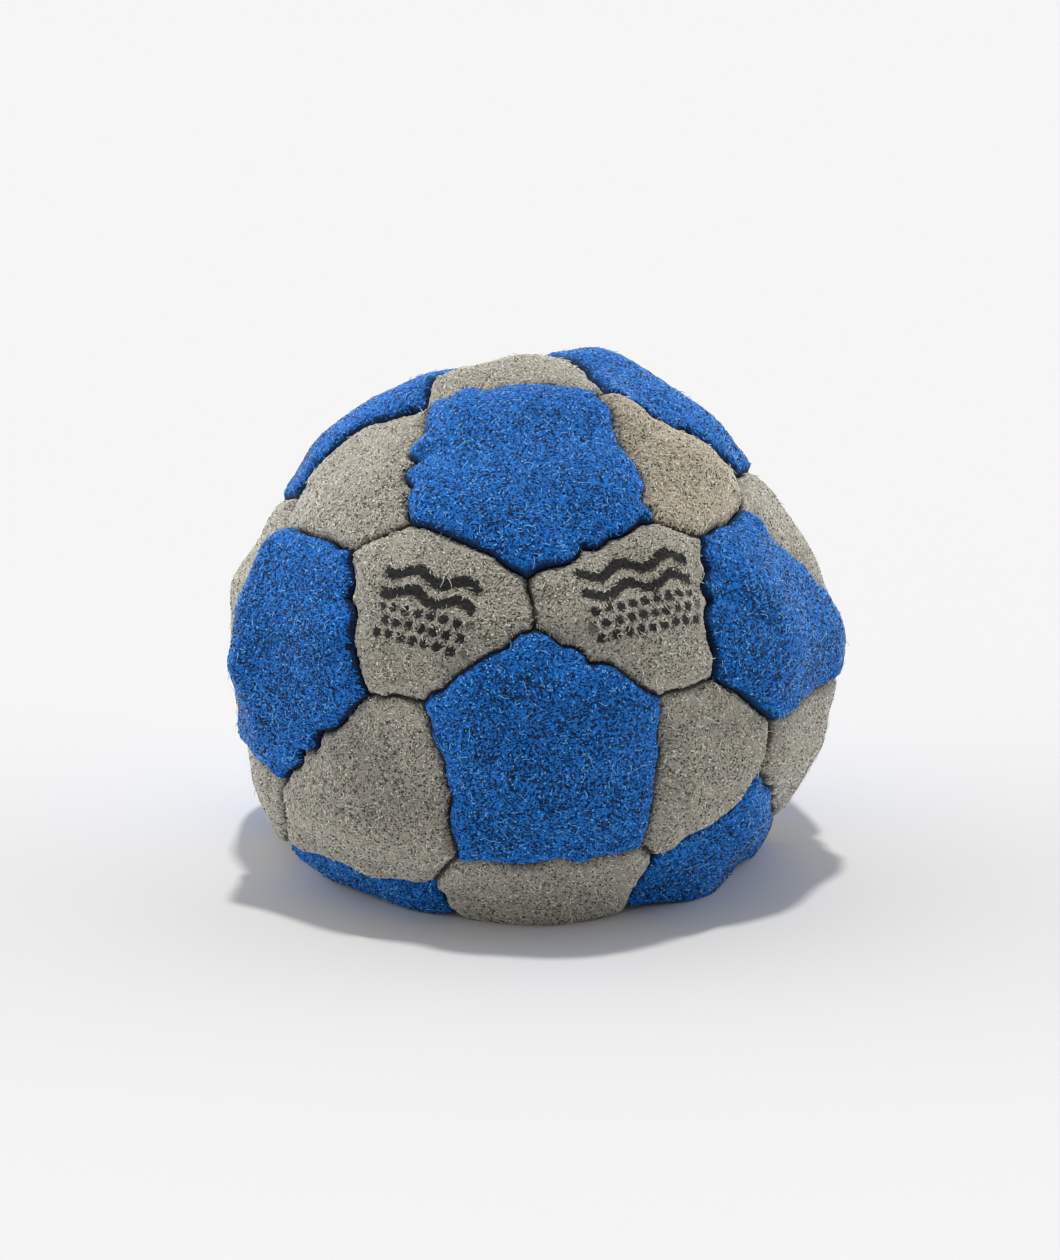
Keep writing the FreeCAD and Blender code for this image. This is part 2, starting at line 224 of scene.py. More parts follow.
def corner(pentagon, neighbour):
    """Direction of the corner of one pentagon that points to a neighbour."""
    axis, other = AXES[pentagon], AXES[neighbour]
    sideways = unit(other - axis * (axis @ other))
    regular = axis * math.cos(PENTAGON_ANGLE) + sideways * math.sin(PENTAGON_ANGLE)
    if (pentagon, neighbour) not in CORNER_SHIFTS:
        return regular
    right, up = CORNER_SHIFTS[pentagon, neighbour]
    point, normal = surface(regular)
    seen = right * VIEW_RIGHT + up * VIEW_UP
    slide = seen - VIEW_BACK * (seen @ normal) / max(VIEW_BACK @ normal, 0.2)
    slide *= min(1, FARTHEST_SLIDE / np.linalg.norm(slide))
    return unit(point + slide - CENTRE)


def in_turn(axis, items, direction_of):
    """Sorts items by their direction round an axis, anticlockwise seen from outside."""
    east = unit(np.cross((0.3, 0.5, 0.8), axis))
    north = np.cross(axis, east)
    return sorted(items, key=lambda i: math.atan2(direction_of(i) @ north, direction_of(i) @ east))


def pentagon_corners(name):
    """The five corner keys of a pentagon in turn."""
    keys = [(name, other) for other in AXES if touching(name, other)]
    return in_turn(AXES[name], keys, lambda key: corner(*key))


def hexagon_corners(trio):
    """The six corner keys of a hexagon in turn."""
    axis = unit(sum(AXES[name] for name in trio))
    keys = list(itertools.permutations(trio, 2))
    return in_turn(axis, keys, lambda key: corner(*key))


# ---------------------------------------------------------------- seams
# How strongly some seams swing in scallops, and how far some bow: away from the pentagon if positive,
# towards it if negative. A seam is named by its pentagon and the two neighbours its ends point to, in
# alphabetical order. The other seams draw their swing and bow from the ranges below.
RUFFLES = {
    ("crown_front", "left", "top_left"): 0.45,
    ("crown_front", "right", "top_right"): 0.4,
    ("crown_front", "front", "right"): 0.3,
    ("front", "foot_left", "left"): 0.3,
    ("left", "crown_front", "front"): 0.3,
    ("left", "foot_left", "front"): 0.35,
    ("right", "crown_front", "front"): 0.35,
    ("top_right", "crown_front", "right"): 0.55,
    ("foot_left", "front", "left"): 0.3,
}
BOWS = {
    ("top_left", "crown_front", "left"): -1.6,
    ("front", "foot_left", "left"): -0.7,
    ("right", "crown_front", "front"): 0.6,
    ("top_right", "crown_front", "right"): -0.8,
    ("left", "back_left", "top_left"): -1.3,
    ("foot_right", "front", "right"): -0.8,
}
PLAIN_RUFFLE = (0.08, 0.28)
PLAIN_BOW = (-0.3, 0.3)
LOBE_LENGTHS = (3.4, 5.4)         # range of a scallop's length
LONG_SEAM_PULL = (0.95, 0.15)     # mean and swing of the depth of a seam between blue and grey
SHORT_SEAM_PULL = (0.7, 0.25)     # and between two greys
END_PULL = 1.1                    # depth at the corners, where the seams meet


def seam_name(key):
    """Name of a seam: its pentagon and the two neighbours that its ends point to."""
    (pentagon, a), (_, b) = sorted(key)
    return pentagon, a, b


def seam_wave(key, t, length):
    """Sideways swing of a seam along its length: uneven scallops 3 to 5 mm long, still at the ends."""
    rng = np.random.default_rng(SEAM_SEEDS[key])
    lobes = length / rng.uniform(*LOBE_LENGTHS)
    phase, second, drift = rng.uniform(0, 2 * math.pi, 3)
    bow = BOWS.get(seam_name(key), rng.uniform(*PLAIN_BOW))
    ruffle = RUFFLES.get(seam_name(key), rng.uniform(*PLAIN_RUFFLE))
    warped = lobes * math.pi * (t + 0.09 * np.sin(2 * math.pi * t + drift)) + phase
    strength = ruffle * (1 + 0.5 * np.sin(2 * math.pi * t * 1.2 + second))
    scallop = strength * (2 * np.sqrt(np.sin(warped) ** 2 + 0.02) - 1.25)
    calm = smooth(t / 0.12) * smooth((1 - t) / 0.12)
    share = 1.0 if length > 8 else 0.5
    return share * calm * scallop + bow * np.sin(math.pi * t)


def seam_pull(key, t):
    """How deep the seam is drawn in along its length, as a share of the usual depth, firm at the ends."""
    rng = np.random.default_rng(500 + SEAM_SEEDS[key])
    long_seam = len({corner_key[0] for corner_key in key}) == 1
    mean, swing = LONG_SEAM_PULL if long_seam else SHORT_SEAM_PULL
    wave = mean + swing * np.sin(2 * math.pi * t * rng.uniform(1.0, 1.8) + rng.uniform(0, 6))
    calm = smooth(t / 0.25) * smooth((1 - t) / 0.25)
    return END_PULL + (wave - END_PULL) * calm


def seam(start, end, t):
    """Directions along the seam between two corner keys, the same line seen from either panel."""
    key = frozenset((start, end))
    first, last = sorted(key)
    a, b = corner(*first), corner(*last)
    s = t if start == first else 1 - t
    angle = math.acos(np.clip(a @ b, -1, 1))
    arc = (np.sin((1 - s) * angle)[:, None] * a + np.sin(s * angle)[:, None] * b) / math.sin(angle)
    side = unit(np.cross(a, b))
    inner = AXES[first[0]]
    away = side if side @ inner < 0 else -side
    swing = seam_wave(key, s, angle * RADIUS)
    return unit(arc + away * swing[:, None] / RADIUS)


def seam_keys():
    """Every seam of the ball as a pair of corner keys."""
    found = set()
    for keys in [pentagon_corners(name) for name in AXES] + [hexagon_corners(trio) for trio in HEXAGONS]:
        found |= {frozenset(pair) for pair in zip(keys, keys[1:] + keys[:1])}
    return sorted(found, key=sorted)


SEAM_SEEDS = {key: number for number, key in enumerate(seam_keys())}


# ---------------------------------------------------------------- relief
# Places where the cover swells or sinks, rounded: point on the ball, reach and height.
SWELLINGS = [
    ((5.5, 6.0, 43.5), 3.5, 1.0),       # peak at the top right pentagon's inner corner
    ((-2.5, 3.0, 44.8), 3.5, -0.35),    # crown falls away to the left
    ((-7.0, 7.0, 43.0), 5.0, -0.5),
    ((-24.0, 2.0, 31.0), 7.0, -0.9),    # flattened shoulders
    ((24.0, 2.0, 31.0), 7.0, -0.9),
    ((25.7, -2.0, 25.0), 4.0, 0.5),
    ((-25.0, -6.0, 18.5), 5.0, -1.0),   # left flank drawn in
    ((26.0, -3.0, 15.5), 6.0, 0.9),     # right flank sags
    ((-12.1, -23.5, 17.5), 4.0, -0.85),  # hollow over a belly, low on the left
    ((-13.5, -21.5, 11.0), 5.0, 0.7),
    ((-20.0, -11.5, 3.5), 4.0, 1.3),    # foot bulges out on the left
    ((13.7, -22.5, 15.4), 3.5, 0.7),    # belly low on the right
    ((22.5, -14.0, 19.0), 5.0, 0.5),
    ((8.5, -6.0, 41.5), 2.5, 0.5),      # two lobes high on the right
    ((15.0, -7.0, 37.8), 3.5, 0.9),
    ((-17.0, -2.0, 37.0), 5.0, 0.4),
]
# Folds with a soft crest or, if the height is negative, a soft crease: two ends, reach and height.
FOLDS = [
    ((-21.5, -9.0, 30.0), (-23.0, -12.0, 21.0), 2.2, 1.5),
    ((-23.0, -12.0, 21.0), (-22.0, -14.0, 15.0), 2.0, 0.8),
    ((-19.5, -16.0, 10.5), (-7.0, -23.6, 8.5), 2.0, 1.4),
    ((-18.0, -15.5, 6.5), (-11.5, -20.8, 5.8), 1.3, -0.7),
    ((11.1, -6.2, 40.5), (9.0, -10.5, 39.5), 0.9, -1.2),
    ((11.0, -24.0, 18.5), (19.5, -18.0, 17.5), 2.2, -0.7),
    ((17.0, -17.0, 28.5), (20.0, -15.0, 25.0), 1.6, -0.9),
]


def from_segment(points, start, end):
    """Distances of points from a line between two places."""
    start, end = np.array(start), np.array(end)
    span = end - start
    share = np.clip((points - start) @ span / (span @ span), 0, 1)
    return np.linalg.norm(points - start - share[..., None] * span, axis=-1)


WAVELENGTHS = (19, 15, 12, 10, 8, 6.5, 5.5)
WAVE_STEEPNESS = 0.015
CREST = 0.4                # how rounded a fold's crest is
PUCKER_REACH = 2.2
PUCKERS_PER_STITCH = 0.8


def relief(points):
    """Height of the cover's broad unevenness at points on the form."""
    rng = np.random.default_rng(7)
    height = np.zeros(points.shape[:-1])
    for wavelength in WAVELENGTHS:
        direction = unit(rng.normal(size=3))
        phase = rng.uniform(0, 2 * math.pi)
        height += WAVE_STEEPNESS * wavelength * np.sin(points @ direction * 2 * math.pi / wavelength + phase)
    for place, reach, rise in SWELLINGS:
        height += rise * np.exp(-(np.linalg.norm(points - np.array(place), axis=-1) / reach) ** 2)
    for start, end, reach, rise in FOLDS:
        away = np.hypot(from_segment(points, start, end), CREST) - CREST
        height += rise * np.exp(-away / reach)
    return height


def steps():
    """Shares from 0 to 1 that crowd towards 1."""
    return 1 - (1 - np.linspace(0, 1, CELLS + 1)) ** EDGE_CROWDING


def patch(bottom, top, left, right):
    """Fills four edges with a grid of points that meets them all."""
    u = steps()[:, None, None]
    v = steps()[None, :, None]
    across = (1 - v) * bottom[:, None] + v * top[:, None]
    along = (1 - u) * left[None, :] + u * right[None, :]
    corners = ((1 - u) * (1 - v) * bottom[0] + u * (1 - v) * bottom[-1]
               + (1 - u) * v * top[0] + u * v * top[-1])
    return unit(across + along - corners)


def line(a, b):
    """Directions from a to b at the grid's steps."""
    t = steps()[:, None]
    return unit((1 - t) * a + t * b)


class Panel:
    """The shape of one panel: a grid of directions, faces between them, and the ring of its edge."""

    def __init__(self, keys, axis):
        self.keys = keys
        self.axis = axis
        self.sides = list(zip(keys, keys[1:] + keys[:1]))
        self.directions, self.faces, self.ring = self.weave()
        self.points, self.normals = surface(self.directions)

    def weave(self):
        """One grid patch per corner, shared vertices merged; returns directions, faces and edge ring."""
        middle = unit(sum(corner(*key) for key in self.keys))
        half = steps() / 2
        into = [seam(a, b, 0.5 + half) for a, b in self.sides]
        out_of = [seam(a, b, 0.5 - half) for a, b in self.sides]
        vertices, index, faces = [], {}, []
        side_count = len(self.sides)

        def place(direction):
            key = tuple(np.round(direction * 1e6).astype(int))
            if key not in index:
                index[key] = len(vertices)
                vertices.append(direction)
            return index[key]

        ring = []
        for k in range(side_count):
            after = (k + 1) % side_count
            bottom, left = line(middle, into[k][0]), line(middle, into[after][0])
            grid = patch(bottom, out_of[after], left, into[k])
            ids = np.array([[place(d) for d in row] for row in grid])
            for i, j in itertools.product(range(CELLS), range(CELLS)):
                faces.append((ids[i, j], ids[i + 1, j], ids[i + 1, j + 1], ids[i, j + 1]))
            ring += list(ids[-1, :-1]) + list(ids[::-1, -1][:-1])
        return np.array(vertices), faces, ring


def side_distances(panel):
    """For each vertex and side: distance to the side in millimetres, and the share along it."""
    t = np.linspace(0, 1, 121)
    distances, shares = [], []
    for a, b in panel.sides:
        edge = surface(seam(a, b, t))[0]
        gaps = np.linalg.norm(panel.points[:, None, :] - edge[None], axis=-1)
        nearest = gaps.argmin(axis=1)
        distances.append(gaps[np.arange(len(gaps)), nearest])
        shares.append(t[nearest])
    return np.array(distances), np.array(shares)


def edge_drop(distance, drop, width):
    """How far a rolled edge has turned down at a distance from the seam."""
    x = np.clip(distance / width, 0, 1)
    return drop * (1 - np.sqrt(1 - (1 - x) ** 2))


def puckers(panel, distances, shares):
    """Shallow pleats that run in from the stitches and die out within a few millimetres."""
    height = np.zeros(len(panel.points))
    for (a, b), distance, share in zip(panel.sides, distances, shares):
        rng = np.random.default_rng(1000 + SEAM_SEEDS[frozenset((a, b))] * 7 + (a[0] == b[0]))
        length = RADIUS * math.acos(np.clip(corner(*a) @ corner(*b), -1, 1))
        count = max(round(length / STITCH * PUCKERS_PER_STITCH), 2)
        wave = np.cos(2 * math.pi * (count * share + rng.uniform(0, 1)) + 2.5 * np.sin(5 * share))
        strength = 0.12 + 0.10 * np.sin(7 * share + rng.uniform(0, 6))
        height += strength * wave * np.exp(-distance / PUCKER_REACH) * smooth(distance / 0.6)
    return height


def pull(panel, distances, shares):
    """How deep the nearest seams are drawn in, at each vertex of a panel."""
    weights = np.maximum(distances, 1e-3) ** -4.0
    firm = [seam_pull(frozenset((a, b)), np.where(a < b, share, 1 - share))
            for (a, b), share in zip(panel.sides, shares)]
    return (weights * np.array(firm)).sum(axis=0) / weights.sum(axis=0)


# How far a panel stands out beyond the others; panels not named here take the lift of their colour.
BLUE_LIFT = 0.42
LIFTS = {"foot_left": -0.5, "foot_right": -0.4}


def form_panel(panel, raised):
    """Outer points of a panel, and each one's distance from the edge and height above the form."""
    distances, shares = side_distances(panel)
    edge = (np.maximum(distances, 1e-3) ** -4.0).sum(axis=0) ** (-1 / 4)
    drop, width = BLUE_ROLL if raised else GREY_ROLL
    lift = LIFTS.get(panel.keys[0][0], BLUE_LIFT) if raised else 0.0
    dome = DOME_RISE * (1 - np.exp(-edge / DOME_SPAN)) + EDGE_LEVEL
    height = lift + dome - edge_drop(edge, drop, width) * pull(panel, distances, shares)
    height += puckers(panel, distances, shares) + relief(panel.points)
    height = np.maximum(height, DEEPEST_SEAM)
    outer = panel.points + panel.normals * height[:, None]
    return outer, edge, height


def shell(panel, outer, height):
    """Closes a panel: outside, turned-in edge, and inside; returns points and faces."""
    count = len(outer)
    ring = np.array(panel.ring)
    ring_points, ring_normals = panel.points[ring], panel.normals[ring]
    inwards = unit(panel.points[ring].mean(axis=0) - ring_points)
    flange = ring_points - ring_normals * FLANGE_DEPTH + inwards * FLANGE_GAP
    beside, beside_normals = surface(ring_points + inwards * (FLANGE_GAP + SKIN) - CENTRE)
    lip = beside - beside_normals * FLANGE_DEPTH
    share = 1 - SKIN / PANEL_REACH
    inner_directions = unit(panel.axis * (1 - share) + panel.directions * share)
    inner_points, inner_normals = surface(inner_directions)
    sunk = np.clip(height - SKIN, -FLANGE_DEPTH, HIGHEST_INSIDE - SKIN)
    inner = inner_points + inner_normals * sunk[:, None]
    points = np.vstack([outer, flange, lip, inner])
    faces = [tuple(face) for face in panel.faces]
    first_flange, first_lip, first_inner = count, count + len(ring), count + 2 * len(ring)
    for i in range(len(ring)):
        j = (i + 1) % len(ring)
        faces.append((ring[j], ring[i], first_flange + i, first_flange + j))
        faces.append((first_flange + j, first_flange + i, first_lip + i, first_lip + j))
        faces.append((first_lip + j, first_lip + i, first_inner + ring[i], first_inner + ring[j]))
    faces += [tuple(first_inner + v for v in face[::-1]) for face in panel.faces]
    points[:, 2] = np.maximum(points[:, 2], FLOOR_GAP)
    return points, faces


def plane_coordinates(panel, points):
    """Millimetre coordinates of points in the panel's own plane, with v upwards on the ball."""
    right = unit(np.cross((0, 0.05, 1), panel.axis))
    up = np.cross(panel.axis, right)
    rel = points - surface(panel.axis)[0]
    return np.column_stack([rel @ right, rel @ up])


def make_mesh(name, points, faces, plane, edge):
    """A smooth mesh object in metres, with its plane coordinates as a UV map and edge distance stored."""
    mesh = bpy.data.meshes.new(name)
    mesh.from_pydata((points * MM).tolist(), [], [tuple(map(int, f)) for f in faces])
    mesh.polygons.foreach_set("use_smooth", [True] * len(mesh.polygons))
    layer = mesh.uv_layers.new(name="panel_plane")
    loops = np.zeros(len(mesh.loops), int)
    mesh.loops.foreach_get("vertex_index", loops)
    layer.data.foreach_set("uv", plane[loops].ravel())
    stored = mesh.attributes.new("edge_distance", "FLOAT", "POINT")
    stored.data.foreach_set("value", edge)
    mesh.validate()
    mesh.update()
    obj = bpy.data.objects.new(name, mesh)
    bpy.context.scene.collection.objects.link(obj)
    return obj


def area_vectors(points, quads):
    """Normals of a mesh's quads, each twice as long as the quad's area."""
    return np.cross(points[quads[:, 2]] - points[quads[:, 0]], points[quads[:, 3]] - points[quads[:, 1]])


def vertex_normals(points, faces):
    """Unit normals of a quad mesh at its vertices."""
    quads = np.array(faces)
    crossed = area_vectors(points, quads)
    normals = np.zeros_like(points)
    for column in quads.T:
        np.add.at(normals, column, crossed)
    return unit(normals)


def scatter(points, faces, density, rng):
    """Random places on a quad mesh, as the vertices and weights that make each place."""
    quads = np.array(faces)
    areas = np.linalg.norm(area_vectors(points, quads), axis=1) / 2
    chosen = rng.choice(len(quads), int(areas.sum() * density), p=areas / areas.sum())
    u, v = rng.uniform(0, 1, (2, len(chosen)))
    weights = np.column_stack([(1 - u) * (1 - v), u * (1 - v), u * v, (1 - u) * v])
    return quads[chosen], weights


def nap_swing(points):
    """Uneven patches a few millimetres wide, as values round 0."""
    rng = np.random.default_rng(11)
    swing = np.zeros(len(points))
    for wavelength in (14, 9, 5, 3):
        direction = unit(rng.normal(size=3))
        swing += 0.55 * np.sin(points @ direction * 2 * math.pi / wavelength + rng.uniform(0, 6))
    return swing


def nap_flow(points, normals, lay):
    """The direction the nap lies in at each point: the panel's own lay, stroked about in patches."""
    swing = nap_swing(points)
    turned = np.cos(swing)[:, None] * lay + np.sin(swing)[:, None] * np.cross(normals, lay)
    return unit(turned - normals * (turned * normals).sum(axis=1, keepdims=True))


def nap_roots(panel, outer, edge, density, rng):
    """Where fibres grow on a panel: places, outward directions and distances from the edge."""
    corners, weights = scatter(outer, panel.faces, density, rng)
    normals = vertex_normals(outer, panel.faces)
    roots = (outer[corners] * weights[..., None]).sum(axis=1)
    away = unit((normals[corners] * weights[..., None]).sum(axis=1))
    inside = (edge[corners] * weights).sum(axis=1)
    kept = rng.uniform(0, 1, len(roots)) < smooth((inside - BARE_EDGE) / THIN_EDGE)
    return roots[kept], away[kept], inside[kept]


def nap_kinds(roots, away, inside, pits, rng):
    """Each fibre's shade, and which are pits (painted shade), strays and glints (painted highlights). Pits
    are rarer on top and beside seams.
    """
    shade = rng.uniform(0, 1, len(roots))
    # How many painted-shade pits a place takes: fewer where the surface faces up and near the seams.
    worn = 0.35 + 0.65 * smooth((0.95 - away[:, 2]) / 0.5) * smooth(inside / 3)
    pit = shade < pits * worn * (1 + 0.15 * nap_swing(roots))
    shade = np.where(pit, 0, np.maximum(shade, 0.02))
    stray = shade > 1 - STRAYS
    glint = ~stray & (shade > 1 - STRAYS - GLINTS)
    return shade, pit, stray, glint


def nap_strands(roots, away, lay, kinds, rng):
    """The points along each fibre: it leans with the nap, at a random slant, and curls back down."""
    pit, stray, glint = kinds
    count = len(roots)
    length = FIBRE_LENGTH * rng.uniform(0.7, 1.4, count)
    length = length * np.select([pit, glint, stray], [0.4, 0.5, 2.4], 1.0)
    rise = rng.uniform(0.0, 0.5, count) + np.where(stray, 0.5, 0.0)
    along = nap_flow(roots, away, lay)
    across = np.cross(away, along)
    spread = rng.normal(0, 0.8, count)
    slanted = np.cos(spread)[:, None] * along + np.sin(spread)[:, None] * across
    lean = unit(slanted + rise[:, None] * away)
    bend = np.cross(lean, away) * rng.normal(0, 0.6, count)[:, None] - 0.3 * away
    strands = (roots[:, None] + lean[:, None] * (length[:, None] * FIBRE_STEPS)[..., None]
               + bend[:, None] * (length[:, None] * FIBRE_STEPS**2)[..., None])
    strands[..., 2] = np.maximum(strands[..., 2], LOWEST_FIBRE)
    return strands


def nap_radii(pit, stray, rng):
    """The radius at each point of each fibre, thinner towards the tip."""
    taper = FIBRE_RADIUS * (1 - 0.5 * FIBRE_STEPS**2)
    girth = rng.uniform(0.7, 1.2, len(pit))
    girth = girth * np.select([pit, stray], [PIT_RADIUS / FIBRE_RADIUS, 0.5], 1.0)
    return np.tile(taper, len(pit)) * np.repeat(girth, len(FIBRE_STEPS))


def store(curves, name, kind, domain, field, values):
    """Stores one value per point or curve under a name."""
    attribute = curves.attributes.new(name, kind, domain)
    attribute.data.foreach_set(field, values.astype(np.float32).ravel())


def add_nap(parent, panel, outer, edge, lay, material, colour, seed):
    """Short curly fibres that lie on a panel, as hair curves that follow the panel's object."""
    rng = np.random.default_rng(seed)
    roots, away, inside = nap_roots(panel, outer, edge, FIBRES_PER_MM2[colour], rng)
    shade, pit, stray, glint = nap_kinds(roots, away, inside, PITS[colour], rng)
    roots = roots + away * np.where(pit | glint, NAP_TOP, 0)[:, None]
    strands = nap_strands(roots, away, lay, (pit, stray, glint), rng)
    radii = nap_radii(pit, stray, rng)
    flat = np.column_stack([plane_coordinates(panel, roots), np.zeros(len(roots))])

    curves = bpy.data.hair_curves.new(parent.name + "_nap")
    curves.add_curves([len(FIBRE_STEPS)] * len(roots))
    curves.position_data.foreach_set("vector", (strands * MM).astype(np.float32).ravel())
    store(curves, "radius", "FLOAT", "POINT", "value", radii * MM)
    store(curves, "shade", "FLOAT", "CURVE", "value", shade)
    store(curves, "panel_plane", "FLOAT_VECTOR", "CURVE", "vector", flat)
    curves.materials.append(material)
    nap = bpy.data.objects.new(curves.name, curves)
    bpy.context.scene.collection.objects.link(nap)
    nap.parent = parent


def cad_node_at(axis, prefix):
    """Name of the CAD panel that lies in a direction from the centre."""
    def alignment(name):
        low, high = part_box(name)
        middle = (np.array(low) + np.array(high)) / 2 / MM - CENTRE
        return unit(middle) @ axis
    names = [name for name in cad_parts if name.startswith(prefix)]
    return max(names, key=alignment)


def add_panel(keys, axis, prefix, fabric, raised):
    """Builds one panel, sets it on the cover and lets it stand for its CAD node."""
    node = cad_node_at(axis, prefix)
    panel = Panel(keys, axis)
    outer, edge, height = form_panel(panel, raised)
    points, faces = shell(panel, outer, height)
    extra = len(points) - len(outer)
    stored = np.concatenate([edge, np.zeros(extra)])
    plane = plane_coordinates(panel, points)
    obj = make_mesh(node.replace("panel", "suede"), points, faces, plane, stored)
    skin, fibre = fabric
    obj.data.materials.append(skin)
    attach(obj, "cover")
    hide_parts(node)
    lay = VIEW_RIGHT if raised else np.array([0.2, 0.0, -1.0])
    colour = prefix.split("_")[0]
    add_nap(obj, panel, outer, edge, lay, fibre, colour, seed=sum(node.encode()))


# ---------------------------------------------------------------- materials
def srgb(r, g, b):
    """A colour given as 0 to 255 values, as linear light with full alpha."""
    values = [v / 255 for v in (r, g, b)]
    return [v / 12.92 if v <= 0.04045 else ((v + 0.055) / 1.055) ** 2.4 for v in values] + [1.0]


class Graph:
    """A short way to add shader nodes to a material or world and join them."""

    def __init__(self, owner):
        owner.use_nodes = True
        self.owner = owner
        self.nodes = owner.node_tree.nodes
        self.links = owner.node_tree.links

    @classmethod
    def for_material(cls, name):
        """The graph of a new material, with its shader at hand."""
        graph = cls(bpy.data.materials.new(name))
        graph.shader = graph.nodes["Principled BSDF"]
        return graph

    @classmethod
    def for_world(cls, name):
        """The graph of a new world, set on the scene."""
        world = bpy.data.worlds.new(name)
        bpy.context.scene.world = world
        return cls(world)

    def add(self, kind, inputs=None, **settings):
        """Adds a node, sets its settings and fills its inputs with values or other nodes' outputs."""
        node = self.nodes.new(kind)
        for name, value in settings.items():
            setattr(node, name, value)
        for name, value in (inputs or {}).items():
            self.fill(node.inputs[name], value)
        return node

    def fill(self, socket, value):
        """Joins an output to a socket, or sets the socket to a plain value."""
        if isinstance(value, bpy.types.NodeSocket):
            self.links.new(value, socket)
        else:
            socket.default_value = value

    def math(self, operation, a, b=0.0, c=0.0):
        """The output of a math node."""
        node = self.add("ShaderNodeMath", {0: a, 1: b, 2: c}, operation=operation)
        return node.outputs[0]

    def ramp(self, value, low, high):
        """value mapped from low..high to 0..1, smoothly and clamped."""
        node = self.add("ShaderNodeMapRange", {"Value": value, "From Min": low, "From Max": high},
                        interpolation_type="SMOOTHSTEP")
        return node.outputs["Result"]

    def mix(self, share, a, b):
        """Colour between a and b."""
        node = self.add("ShaderNodeMix", {0: share, 6: a, 7: b}, data_type="RGBA")
        return node.outputs[2]


def millimetres(graph):
    """Object coordinates in millimetres."""
    place = graph.add("ShaderNodeTexCoord").outputs["Object"]
    scaled = graph.add("ShaderNodeVectorMath", {0: place, "Scale": 1 / MM}, operation="SCALE")
    return scaled.outputs[0]


def noise(graph, vector, scale, detail=2.0, roughness=0.5, distortion=0.0):
    """A noise texture's value, its scale in waves per unit of vector."""
    node = graph.add("ShaderNodeTexNoise", {
        "Vector": vector, "Scale": scale, "Detail": detail, "Roughness": roughness,
        "Distortion": distortion,
    })
    return node.outputs[0]


def fibre_coordinates(graph, turn, across, along):
    """The panel's plane coordinates turned and squeezed, so that noise on them makes short fibres."""
    plane = graph.add("ShaderNodeUVMap", uv_map="panel_plane").outputs["UV"]
    wobble = graph.add("ShaderNodeTexNoise", {"Vector": plane, "Scale": 0.35, "Detail": 1.0})
    shift = graph.add("ShaderNodeVectorMath", {0: wobble.outputs["Color"], "Scale": 2.5}, operation="SCALE")
    bent = graph.add("ShaderNodeVectorMath", {0: plane, 1: shift.outputs[0]}, operation="ADD")
    mapping = graph.add("ShaderNodeMapping", {
        "Vector": bent.outputs[0], "Rotation": (0, 0, turn), "Scale": (along, across, 1),
    })
    return mapping.outputs[0]


def suede(name, base, pit, glint, nap_turn, ink=None):
    """Napped synthetic suede: short crossing fibres, dark pits between them painted as shade, glints on top
    painted as highlights, and painted shade in the seams' gaps.
    """
    graph = Graph.for_material(name)
    place = millimetres(graph)
    tufts = noise(graph, place, 3.6, 2.0, 0.65, 0.6)
    specks = noise(graph, place, 8.0, 0.0, 0.5)
    patches = noise(graph, place, 0.13, 2.0, 0.5)
    strands = noise(graph, fibre_coordinates(graph, nap_turn, 6.5, 2.4), 1.0, 1.5, 0.6, 0.4)
    crossing = noise(graph, fibre_coordinates(graph, nap_turn + 1.1, 7.5, 2.4), 1.0, 1.0, 0.5, 0.5)

    height = graph.math("MULTIPLY_ADD", tufts, 0.5, graph.math("MULTIPLY", strands, 0.5))
    # Painted shade: dark pits in the low places between tufts, fainter where the surface is seen at a slant.
    facing = graph.add("ShaderNodeLayerWeight", {"Blend": 0.5}).outputs["Facing"]
    contrast = graph.math("MULTIPLY_ADD", graph.ramp(facing, 0.95, 0.4), 0.6, 0.4)
    pits = graph.math("MULTIPLY", graph.ramp(height, 0.49, 0.40), contrast)
    lit = graph.ramp(height, 0.51, 0.60)
    flecks = graph.ramp(crossing, 0.60, 0.70)
    sparks = graph.ramp(specks, 0.66, 0.74)
    shade = graph.ramp(patches, 0.35, 0.65)

    worn = [min(c * 1.2, 1.0) for c in base[:3]] + [1.0]
    colour = graph.mix(shade, base, worn)
    colour = graph.mix(pits, colour, pit)
    # Painted highlights in the glint colour: lit tuft tops, pale crossing fibres and tiny sparks.
    colour = graph.mix(graph.math("MULTIPLY", lit, 0.45), colour, glint)
    colour = graph.mix(graph.math("MULTIPLY", flecks, 0.5), colour, glint)
    colour = graph.mix(graph.math("MULTIPLY", sparks, 0.5), colour, glint)
    # Painted shade of the seam's gap: the colour darkens towards the pit colour within GAP_SHADE of a seam.
    edge = graph.add("ShaderNodeAttribute", attribute_name="edge_distance").outputs["Fac"]
    colour = graph.mix(graph.math("MULTIPLY", graph.ramp(edge, GAP_SHADE, 0.1), 0.85), colour, pit)
    if ink is not None:
        colour = graph.mix(ink(graph, tufts), colour, INK)

    bump = graph.add("ShaderNodeBump", {"Strength": 1.0, "Distance": 0.55 * MM, "Height": height})
    shader = graph.shader
    graph.fill(shader.inputs["Base Color"], colour)
    graph.fill(shader.inputs["Normal"], bump.outputs[0])
    shader.inputs["Roughness"].default_value = 0.75
    shader.inputs["Specular IOR Level"].default_value = 0.3
    shader.inputs["Sheen Weight"].default_value = 0.2
    shader.inputs["Sheen Roughness"].default_value = 0.5
    shader.inputs["Sheen Tint"].default_value = glint
    return graph.owner


